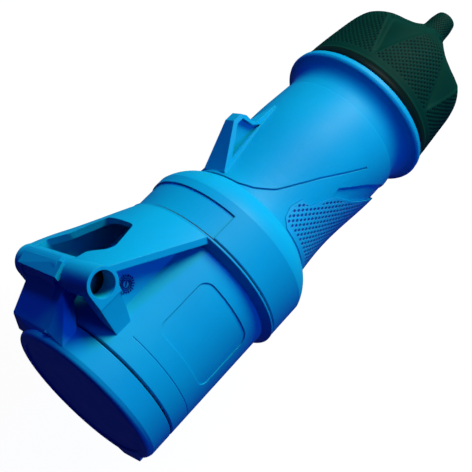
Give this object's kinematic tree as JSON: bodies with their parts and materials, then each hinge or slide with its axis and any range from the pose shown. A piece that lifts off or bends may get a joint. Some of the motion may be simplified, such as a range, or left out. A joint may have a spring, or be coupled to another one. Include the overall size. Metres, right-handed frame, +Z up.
{
  "type": "industrial pin and sleeve connector",
  "caption": "Waterproof industrial cable connector with a sprung hinged lid, contact sleeves in a round collar, waisted handle with soft grip, and a fluted cable gland nut.",
  "frame": {"origin": "on the plug axis, at the plane of the collar's mouth where the lid meets it", "axes": "+X along the plug axis from the mouth to the cable end, +Z up as the connector lies on its side, +Y towards the side that the lid's hinge is on"},
  "size_m": [0.2202, 0.0853, 0.0721],
  "materials": {
    "blue_housing": "moulded polyamide, fine satin",
    "blue_lid": "moulded polyamide, fine satin",
    "blue_grip": "soft moulded grip with a dimpled face",
    "green_gland": "moulded polyamide, fine knurl",
    "carrier_plastic": "heat resistant moulding",
    "cover_plastic": "plain moulding",
    "contact_brass": "turned",
    "steel": "bright",
    "black_rubber": "matt"
  },
  "bodies": {
    "connector": {"body_gasket": "black_rubber", "carrier_cover": "cover_plastic", "carrier_screws": "steel", "clamp_cage": "cover_plastic", "contact_carrier": "carrier_plastic", "contact_sleeve_earth": "contact_brass", "contact_sleeve_line": "contact_brass", "contact_sleeve_neutral": "contact_brass", "contact_springs": "steel", "front_housing": "blue_housing", "grip": "blue_grip", "hinge_pin": "steel", "lid_spring": "steel", "rear_housing": "blue_housing", "sealing_sleeve": "black_rubber", "terminal_screws": "steel"},
    "lid": {"lid": "blue_lid", "lid_seal": "black_rubber"},
    "pressure_washer": {"pressure_washer": "green_gland"},
    "gland_nut": {"gland_nut": "green_gland"}
  },
  "joints": [
    {"name": "lid_hinge", "type": "hinge", "parent": "connector", "child": "lid", "pos_m": [0.01055, 0.03815, -0.01203], "axis": [0, -0.3007, -0.9537], "range_deg": [0, 105], "stiffness_Nm_per_rad": 0.04, "springref_deg": -57.3, "deforming": ["lid_spring"]},
    {"name": "gland_slide", "type": "slide", "parent": "connector", "child": "pressure_washer", "axis": [1, 0, 0], "range_m": [0, 0.009]},
    {"name": "nut_turn", "type": "hinge", "parent": "pressure_washer", "child": "gland_nut", "pos_m": [0.17, 0, 0], "axis": [1, 0, 0], "range_deg": [0, 1080]}
  ],
  "couplings": [
    {"joint": "nut_turn", "follows": "gland_slide", "rad_per_m": 2094.4}
  ]
}
